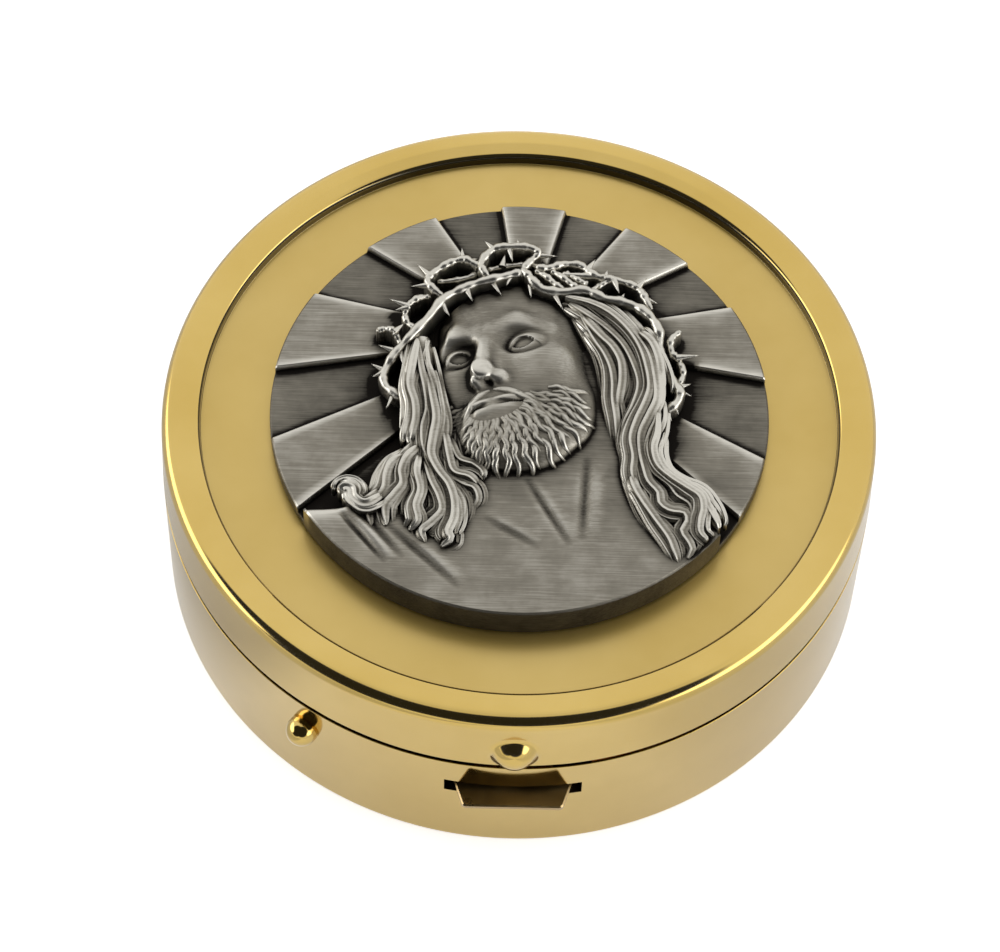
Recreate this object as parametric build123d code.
from math import asin, cos, degrees, radians, sin, sqrt, tan
import os
from build123d import *

# A round hinged box: drawn base cup, drawn lid with a cast plaque, spring latch at the front.
# Sizes are millimetres, Z is the axis of the round body and the front of the box faces -Y.

# Body shells
flat_turn = 40.0
smallest_rounding = 0.36
body_radius = 27.0
sheet = 0.6
seam_height = 11.9
seam_gap = 0.12
base_edge_rounding = 0.7
base_inner_rounding = 0.35
inner_radius = body_radius - sheet
base_rim = seam_height - seam_gap / 2
skirt_bottom = seam_height + seam_gap / 2

# Catch pocket, pressed outwards in the lid skirt
pocket_foot_radius = 1.9
pocket_rise = 0.85
pocket_margin = 0.3
pocket_height = seam_height + pocket_margin + pocket_foot_radius

# Lid border and panel
panel_above_pocket = 0.9
panel_top = pocket_height + pocket_foot_radius + panel_above_pocket
bead_rise = 0.7
bead_shoulder_drop = 0.25
bead_width = 2.9
bead_crest_share = 0.55
bead_inner_drop = 0.18
lid_corner_rounding = 0.95
bead_lip_rounding = 0.3
bead_top = panel_top + bead_rise
step_radius = body_radius - bead_width
crest_radius = step_radius + bead_width * bead_crest_share

# Collar inside the base
collar_sheet = 0.6
collar_bottom = 4.2
collar_rise = 1.9
collar_lid_clearance = 0.15
collar_lead = 0.3

# Latch: spring strip, tongue, catch nib and rivet
strip_clearance = 0.12
strip_thickness = 0.4
strip_width = 4.0
strip_below_seam = 1.4
strip_end_past_rivet = 3.0
strip_end_past_tongue = 0.45
lug_half_angle = 6.2
lug_above_nib = 1.1
nib_radius = 1.5
nib_reach = 0.55
nib_wall = 0.4
tongue_above_strip_edge = 1.72
tongue_thickness = 0.5
tongue_root_half = 4.36
tongue_tip_half = 3.65
tongue_stand_out = 1.4
tongue_corner = 0.3
slot_end_clearance = 0.51
slot_high_clearance = 0.5
slot_corner = 0.2
rivet_angle = -34.8
rivet_shank_radius = 0.6
rivet_hole_clearance = 0.2
rivet_head_radius = 1.2
rivet_head_rise = 1.55
rivet_tail_radius = 1.1
rivet_tail_rise = 0.45
notch_clearance = 0.45
strip_outer = inner_radius - strip_clearance
strip_inner = strip_outer - strip_thickness
strip_top = seam_height - strip_below_seam
strip_bottom = strip_top - strip_width
strip_free_end = degrees((tongue_root_half + strip_end_past_tongue) / strip_outer)
lug_top = pocket_height + lug_above_nib
tongue_height = strip_bottom + tongue_above_strip_edge
tongue_tip_radius = body_radius + tongue_stand_out
slot_half_width = tongue_root_half + slot_end_clearance
slot_high = tongue_thickness + 2 * slot_high_clearance
rivet_height = (strip_bottom + strip_top) / 2

# Hinge at the back
hinge_inset = 0.6
barrel_radius = 0.8
barrel_half_length = 5.5
centre_knuckle_half = 1.7
knuckle_gap = 0.1
pin_radius = 0.4
pin_running_gap = 0.03
notch_end_clearance = 0.35
notch_side_clearance = 0.1
knuckle_relief = 0.15
leaf_thickness = 0.55
leaf_drop = 4.0
hinge_y = body_radius - hinge_inset
hinge_notch_half_width = barrel_half_length + notch_end_clearance
hinge_notch_half_height = barrel_radius + notch_side_clearance

# Plaque on the lid
plaque_radius = 18.7
film_thickness = 0.15
film_inset = 0.4
sunk_ray_thickness = 0.75
raised_ray_step = 0.55
plaque_bottom = panel_top + film_thickness
field_top = plaque_bottom + sunk_ray_thickness
ray_centre = (0.2, 6.3)
ray_edges = (-44.2, -29.8, -10.2, 12.0, 30.1, 53.8, 75.1, 98.4, 121.3, 146.0, 166.5, 189.7, 206.8, 223.5)

# Bust on the plaque
chest_top = 19.7
chest_reach = plaque_radius + 0.3
chest_line = ((-chest_reach, -8.6), (-15.2, -10.3), (-12.0, -9.6), (-8.0, -8.4), (-4.2, -6.4), (-3.6, 0.0),
              (7.4, 0.5), (8.2, -5.0), (9.8, -8.6), (14.4, -11.2), (chest_reach, -14.0))
head_centre = (0.0, 3.0)
head_half_width = 5.9
head_half_length = 7.6
head_sink = 2.4
head_lean = 8.0
mound_steps = 8
back_turn = 45
spike_sides = 4
face_turn = -1.5
feature_sink = 0.35
nose_length = 3.4
nose_radius = 0.85
nose_bridge_radius = 0.35
eye_spread = 2.3
eye_radius = 0.85
eye_rise = 0.45
brow_lift = 1.2
brow_radius = 0.4
brow_length = 2.6
lip_drop = 4.3
lip_radius = 0.38
lip_length = 2.4
beard_centre = (0.9, -2.8)
beard_half_width = 5.0
beard_half_length = 3.6
beard_sink = 1.7
hair_bottom = plaque_bottom + 0.3
lock_tip = 0.25
left_locks = (
    ((-6.0, 8.2), (-8.0, 4.6), (-8.3, 0.6), (-7.8, -2.6), (-8.1, -4.6)),
    ((-6.3, 7.0), (-7.2, 2.6), (-6.8, -1.8), (-6.5, -5.2), (-8.2, -8.6), (-10.0, -11.2)),
    ((-6.4, 2.6), (-5.9, -1.8), (-5.1, -5.2), (-6.0, -9.0), (-7.0, -12.2)),
    ((-5.0, -3.8), (-3.2, -6.6), (-4.0, -9.6), (-5.4, -12.4)),
    ((-8.0, -5.6), (-9.6, -8.4), (-11.4, -9.0), (-12.6, -7.8)),
)
right_locks = (
    ((3.0, 9.4), (7.0, 7.0), (9.4, 3.2), (9.5, -1.0), (8.7, -4.6), (9.7, -7.9), (11.9, -10.0), (12.7, -12.4)),
    ((4.4, 8.0), (7.3, 4.4), (8.5, 0.4), (8.1, -3.8), (9.0, -7.6), (10.7, -10.4), (11.3, -13.0)),
    ((9.5, -4.2), (11.2, -7.0), (13.1, -8.6), (14.2, -11.2)),
)
left_lock_half_width = 1.15
right_lock_half_width = 1.3
lock_top_start = 21.2
lock_top_end = 20.4

# Crown of twisted branches with thorns
crown_centre = (1.05, 1.9)
crown_half_axes = (10.3, 9.6)
crown_start = 198.0
crown_end = -12.0
crown_height = 20.7
branch_radius = 0.45
branch_sides = 4
branch_swing = 0.85
branch_waves = 4.5
branch_points = 20
thorn_base_radius = 0.36
thorn_tip_radius = 0.06
thorn_length = 1.8
thorn_count = 19


def polar(radius, angle, height):
    # angle is measured at the axis from the front, -Y, towards +X
    return (radius * sin(radians(angle)), -radius * cos(radians(angle)), height)


def eased(before, corner, after, rounding):
    # points along the rounding of one corner of an outline
    into = Vector(*before) - Vector(*corner)
    out = Vector(*after) - Vector(*corner)
    into = into.normalized()
    out = out.normalized()
    half = radians(into.get_angle(out)) / 2
    middle = Vector(*corner) + (into + out).normalized() * (rounding / sin(half))
    first = Vector(*corner) + into * (rounding / tan(half)) - middle
    last = Vector(*corner) + out * (rounding / tan(half)) - middle
    turn = 180 - 2 * degrees(half)
    if first.cross(last).Z < 0:
        turn = -turn
    flats = max(1, round(abs(turn) / flat_turn)) if rounding > smallest_rounding else 1
    points = []
    for i in range(flats + 1):
        spot = middle + first.rotate(Axis.Z, turn * i / flats)
        points.append((spot.X, spot.Y))
    return points


def profile(corners):
    # closed outline from (radius, height, rounding) corners
    points = []
    for i, (r, h, rounding) in enumerate(corners):
        if rounding > 0:
            before = corners[i - 1][:2]
            after = corners[(i + 1) % len(corners)][:2]
            points += eased(before, (r, h), after, rounding)
        else:
            points.append((r, h))
    return Plane.XZ * make_face(Polyline(points, close=True))


def turned(corners):
    return revolve(profile(corners), Axis.Z)


def band(inner, outer, bottom, top, first_angle, last_angle):
    # upright strip of a ring between two angles, both measured from the front
    corners = [(inner, bottom), (outer, bottom), (outer, top), (inner, top)]
    section = Plane.XZ * make_face(Polyline(corners, close=True))
    strip = revolve(section, Axis.Z, revolution_arc=last_angle - first_angle)
    return Rot(0, 0, first_angle - 90) * strip


def block(x0, x1, y0, y1, z0, z1):
    return Pos((x0 + x1) / 2, (y0 + y1) / 2, (z0 + z1) / 2) * Box(x1 - x0, y1 - y0, z1 - z0)


def rod(radius, x0, x1):
    # round bar along X on the hinge axis
    return Pos((x0 + x1) / 2, hinge_y, seam_height) * Rot(0, 90, 0) * Cylinder(radius, x1 - x0)


def radial_plane(radius, angle, height):
    # plane with its normal pointing straight outwards from the axis
    direction = polar(1.0, angle, 0.0)
    return Plane(origin=polar(radius, angle, height), x_dir=(0, 0, 1), z_dir=direction)


hinge_notch = block(-hinge_notch_half_width, hinge_notch_half_width, hinge_y - 3.0, body_radius + 1.0,
                    seam_height - hinge_notch_half_height, seam_height + hinge_notch_half_height)
rivet_axis = radial_plane(body_radius, rivet_angle, rivet_height)

# Base cup
base_cup = turned([
    (0.0, 0.0, 0.0),
    (body_radius, 0.0, base_edge_rounding),
    (body_radius, base_rim, 0.0),
    (inner_radius, base_rim, 0.0),
    (inner_radius, sheet, base_inner_rounding),
    (0.0, sheet, 0.0),
])
slot_outline = RectangleRounded(2 * slot_half_width, slot_high, slot_corner)
slot_plane = Plane(origin=(0, -inner_radius + 3.0, tongue_height), x_dir=(1, 0, 0), z_dir=(0, -1, 0))
base_cup -= slot_plane * extrude(slot_outline, 5.0)
base_cup -= rivet_axis * Cylinder(rivet_shank_radius, 4 * sheet)
base_cup -= hinge_notch

# Collar: fits against the base wall and stands up inside the lid skirt
collar_top = seam_height + collar_rise
collar_inner = inner_radius - collar_sheet
collar_upper = inner_radius - collar_lid_clearance
base_collar = turned([
    (collar_inner, collar_bottom, 0.0),
    (inner_radius, collar_bottom, 0.0),
    (inner_radius, base_rim - 0.3, 0.0),
    (collar_upper, base_rim - 0.15, 0.0),
    (collar_upper, collar_top, collar_lead),
    (collar_inner, collar_top, 0.0),
])
strip_start = rivet_angle - degrees(strip_end_past_rivet / 2 / strip_outer)
latch_opening = band(collar_inner - 1.0, inner_radius + 0.1, strip_bottom - notch_clearance, collar_top + 1.0,
                     strip_start - degrees(notch_clearance / strip_outer),
                     strip_free_end + degrees(2 * notch_clearance / strip_outer))
base_collar -= latch_opening
leaf_bottom = seam_height - leaf_drop
base_collar -= block(-hinge_notch_half_width, hinge_notch_half_width, 20.0, body_radius,
                     leaf_bottom - notch_clearance, collar_top + 1.0)

# Latch spring: riveted strip, lug with the catch nib, tongue out through the slot
latch_spring = band(strip_inner, strip_outer, strip_bottom, strip_top, strip_start, strip_free_end)
latch_spring += band(strip_inner, strip_outer, strip_top, lug_top, -lug_half_angle, lug_half_angle)
nib_centre = strip_outer + nib_reach - nib_radius
latch_spring += Pos(0, -nib_centre, pocket_height) * Sphere(nib_radius) - Cylinder(strip_inner, 60)
latch_spring -= Pos(0, -nib_centre, pocket_height) * Sphere(nib_radius - nib_wall)
tongue_outline = make_face(Polyline([
    (-tongue_root_half, -strip_inner + 2.0),
    (tongue_root_half, -strip_inner + 2.0),
    (tongue_root_half, -strip_outer),
    (tongue_tip_half, -tongue_tip_radius),
    (-tongue_tip_half, -tongue_tip_radius),
    (-tongue_root_half, -strip_outer),
], close=True))
tongue_outline = fillet(tongue_outline.vertices().group_by(Axis.Y)[0], tongue_corner)
tongue = Pos(0, 0, tongue_height - tongue_thickness / 2) * extrude(tongue_outline, tongue_thickness)
latch_spring += tongue - Cylinder(strip_inner, 60)
latch_spring -= rivet_axis * Cylinder(rivet_shank_radius + rivet_hole_clearance, 6 * sheet)

# Latch rivet: round head outside, flat tail inside the strip
tail_face = -(body_radius - strip_inner + strip_clearance)
head_shoulder = rivet_head_rise - rivet_head_radius
latch_rivet = turned([
    (0.0, tail_face - rivet_tail_rise, 0.0),
    (rivet_tail_radius, tail_face - rivet_tail_rise, 0.0),
    (rivet_tail_radius, tail_face, 0.0),
    (rivet_shank_radius, tail_face, 0.0),
    (rivet_shank_radius, 0.0, 0.0),
    (rivet_head_radius, 0.0, 0.0),
    (rivet_head_radius, rivet_head_rise, rivet_head_radius - 0.01),
    (0.0, rivet_head_rise, 0.0),
])
latch_rivet = rivet_axis * latch_rivet

# Lid shell
lid_shell = turned([
    (0.0, panel_top - sheet, 0.0),
    (step_radius + sheet, panel_top - sheet, 0.0),
    (step_radius + sheet, bead_top - bead_shoulder_drop - sheet, 0.0),
    (inner_radius, bead_top - bead_shoulder_drop - sheet, 0.0),
    (inner_radius, skirt_bottom, 0.0),
    (body_radius, skirt_bottom, 0.0),
    (body_radius, bead_top - bead_shoulder_drop, lid_corner_rounding),
    (crest_radius, bead_top, 0.0),
    (step_radius, bead_top - bead_inner_drop, bead_lip_rounding),
    (step_radius, panel_top, 0.0),
    (0.0, panel_top, 0.0),
])
pocket_sphere = (pocket_foot_radius ** 2 + pocket_rise ** 2) / (2 * pocket_rise)
pocket_centre = body_radius + pocket_rise - pocket_sphere
pocket_place = Pos(0, -pocket_centre, pocket_height)
lid_shell += pocket_place * Sphere(pocket_sphere) - Cylinder(body_radius - sheet / 2, 60)
lid_shell -= pocket_place * Sphere(pocket_sphere - sheet + 0.1)
lid_shell -= hinge_notch

# Hinge: two leaves soldered inside the walls, three knuckles and a pin
leaf_half_angle = degrees(asin(barrel_half_length / inner_radius))
leaf_inner = inner_radius - leaf_thickness
outer_start = centre_knuckle_half + knuckle_gap
relief_radius = barrel_radius + knuckle_relief
leaf_angles = (180 - leaf_half_angle, 180 + leaf_half_angle)
base_hinge_leaf = band(leaf_inner, inner_radius, leaf_bottom, seam_height, *leaf_angles)
base_hinge_leaf += rod(barrel_radius, outer_start, barrel_half_length)
base_hinge_leaf += rod(barrel_radius, -barrel_half_length, -outer_start)
base_hinge_leaf -= rod(relief_radius, -outer_start, outer_start)
base_hinge_leaf -= rod(pin_radius, -20.0, 20.0)

leaf_top = seam_height + leaf_drop
lid_hinge_leaf = band(leaf_inner, inner_radius, seam_height, leaf_top, *leaf_angles)
lid_hinge_leaf -= rod(relief_radius, centre_knuckle_half, 20.0)
lid_hinge_leaf -= rod(relief_radius, -20.0, -centre_knuckle_half)
lid_hinge_leaf += rod(barrel_radius, -centre_knuckle_half, centre_knuckle_half)
lid_hinge_leaf -= rod(pin_radius + pin_running_gap, -20.0, 20.0)

hinge_pin = rod(pin_radius, -barrel_half_length, barrel_half_length)

# Bonding film under the plaque
plaque_film = Pos(0, 0, panel_top + film_thickness / 2) * Cylinder(plaque_radius - film_inset, film_thickness)


def disc(bottom, top):
    return Pos(0, 0, (bottom + top) / 2) * Cylinder(plaque_radius, top - bottom)


def ray(first_angle, last_angle):
    # wedge between two rays from the ray centre, wide enough to pass the plaque's edge
    cx, cy = ray_centre
    far = 2 * plaque_radius
    corners = [(cx, cy)]
    for a in (first_angle, (first_angle + last_angle) / 2, last_angle):
        corners.append((cx + far * cos(radians(a)), cy + far * sin(radians(a))))
    wedge = make_face(Polyline(corners, close=True))
    return Pos(0, 0, field_top - 0.2) * extrude(wedge, raised_ray_step + 0.2)


def rounded_back(width, rise, power):
    # outline of a strand or a head across its length, flat below
    return [(width * cos(radians(a)), -rise * sin(radians(a)) ** power) for a in range(0, 181, back_turn)]


def even_sides(radius, sides):
    turns = [radians(360 * k / sides) for k in range(sides)]
    return [(radius * cos(turn), radius * sin(turn)) for turn in turns]


def ring(plane, outline):
    return [plane.from_local_coords((u, v, 0)) for u, v in outline]


def skinned(rings):
    # solid with flat three-sided faces through rings of points
    faces = [Face(Wire.make_polygon(rings[0])), Face(Wire.make_polygon(rings[-1]))]
    for lower, upper in zip(rings, rings[1:]):
        for i in range(len(lower)):
            faces.append(Face(Wire.make_polygon([lower[i - 1], lower[i], upper[i]])))
            faces.append(Face(Wire.make_polygon([lower[i - 1], upper[i], upper[i - 1]])))
    return Solid(Shell(faces))


def mound(centre, half_width, half_length, sink):
    # upper part of an egg-like form lying along the plaque, cut off level with the rays
    rings = []
    for i in range(mound_steps + 1):
        spread = radians(180 * i / mound_steps)
        size = max(sin(spread), 0.08)
        plane = Plane(origin=(0, half_length * cos(spread), -sink), x_dir=(1, 0, 0), z_dir=(0, 1, 0))
        rings.append(ring(plane, rounded_back(half_width * size, half_width * size, 1.0)))
    egg = Pos(centre[0], centre[1], field_top) * Rot(0, 0, head_lean) * skinned(rings)
    return egg & block(-20, 20, -20, 20, field_top - 0.1, field_top + 20)


def spike(root_radius, tip_radius, length):
    # straight form along Z with flat sides
    root = ring(Plane.XY, even_sides(root_radius, spike_sides))
    tip = ring(Plane.XY.offset(length), even_sides(tip_radius, spike_sides))
    return skinned([root, tip])


def face_spot(across, along):
    # place a little under the head's surface, counted from the middle of the turned face
    u = face_turn + across
    level = 1 - (u / head_half_width) ** 2 - (along / head_half_length) ** 2
    height = field_top - head_sink + head_half_width * sqrt(level) - feature_sink
    return Pos(head_centre[0], head_centre[1], height) * Rot(0, 0, head_lean) * Pos(u, along, 0)


def lock(path, half_width):
    # strand of hair with a rounded back, following its path and tapering to its end
    rings = []
    last = len(path) - 1
    for i, (x, y) in enumerate(path):
        before = path[max(i - 1, 0)]
        after = path[min(i + 1, last)]
        along = Vector(after[0] - before[0], after[1] - before[1], 0)
        across = along.cross(Vector(0, 0, 1))
        share = i / last
        width = half_width * (0.7 + 0.6 * sin(radians(150 * share))) if i < last else lock_tip
        rise = lock_top_start + (lock_top_end - lock_top_start) * share - hair_bottom
        plane = Plane(origin=(x, y, hair_bottom), x_dir=across, z_dir=along)
        rings.append(ring(plane, rounded_back(width, rise, 0.5)))
    return skinned(rings)


def crown_point(share, side):
    # point on one of the two branches that wind about the crown's line
    angle = radians(crown_start + (crown_end - crown_start) * share)
    turn = radians(360 * branch_waves * share) + (0 if side > 0 else radians(180))
    reach = 1 + branch_swing * sin(turn) / crown_half_axes[0]
    x = crown_centre[0] + crown_half_axes[0] * reach * cos(angle)
    y = crown_centre[1] + crown_half_axes[1] * reach * sin(angle)
    return Vector(x, y, crown_height + 0.5 * branch_swing * cos(turn))


def branch(side):
    points = [crown_point(i / (branch_points - 1), side) for i in range(branch_points)]
    outline = even_sides(branch_radius, branch_sides)
    rings = []
    for i, spot in enumerate(points):
        along = points[min(i + 1, branch_points - 1)] - points[max(i - 1, 0)]
        plane = Plane(origin=spot, x_dir=along.cross(Vector(0, 0, 1)), z_dir=along)
        rings.append(ring(plane, outline))
    return skinned(rings)


def thorn(share, side):
    foot = crown_point(share, side)
    out = Vector(foot.X - crown_centre[0], foot.Y - crown_centre[1], 0).normalized()
    skew = 35.0 if side > 0 else -35.0
    direction = (out + Vector(0, 0, 0.25)).rotate(Axis.Z, skew).normalized()
    return Plane(origin=foot, z_dir=direction) * spike(thorn_base_radius, thorn_tip_radius, thorn_length)


# Plaque: disc with alternate rays raised, bust cut off at the rim, crown of two branches
plaque = disc(plaque_bottom, field_top)
for i in range(0, len(ray_edges) - 1, 2):
    plaque += ray(ray_edges[i], ray_edges[i + 1]) & disc(plaque_bottom, field_top + 5)
chest_corners = list(chest_line) + [(chest_reach, -chest_reach), (-chest_reach, -chest_reach)]
chest_outline = make_face(Polyline(chest_corners, close=True))
chest = Pos(0, 0, plaque_bottom) * extrude(chest_outline, chest_top - plaque_bottom)
plaque += chest & disc(plaque_bottom, chest_top + 1)
plaque += mound(head_centre, head_half_width, head_half_length, head_sink)
plaque += mound(beard_centre, beard_half_width, beard_half_length, beard_sink)
plaque += face_spot(0, 0) * Rot(90, 0, 0) * spike(nose_bridge_radius, nose_radius, nose_length)
plaque += face_spot(-lip_length / 2, -lip_drop) * Rot(0, 90, 0) * spike(lip_radius, lip_radius, lip_length)
for side in (1, -1):
    eye = spike(eye_radius, eye_radius / 2, feature_sink + eye_rise)
    plaque += face_spot(side * eye_spread, 0) * eye
    brow = Rot(0, 90, 0) * spike(brow_radius, brow_radius, brow_length)
    plaque += face_spot(side * eye_spread, brow_lift) * Pos(-brow_length / 2, 0, 0) * brow
for path in left_locks:
    plaque += lock(path, left_lock_half_width)
for path in right_locks:
    plaque += lock(path, right_lock_half_width)
for side in (1, -1):
    plaque += branch(side)
for i in range(thorn_count):
    plaque += thorn((i + 0.5) / thorn_count, 1 if i % 2 else -1)

nodes = {
    "base_cup": base_cup,
    "base_collar": base_collar,
    "latch_spring": latch_spring,
    "latch_rivet": latch_rivet,
    "base_hinge_leaf": base_hinge_leaf,
    "hinge_pin": hinge_pin,
    "lid_shell": lid_shell,
    "lid_hinge_leaf": lid_hinge_leaf,
    "plaque_film": plaque_film,
    "plaque": plaque,
}
os.makedirs("parts", exist_ok=True)
for name, shape in nodes.items():
    export_step(shape, f"parts/{name}.step")
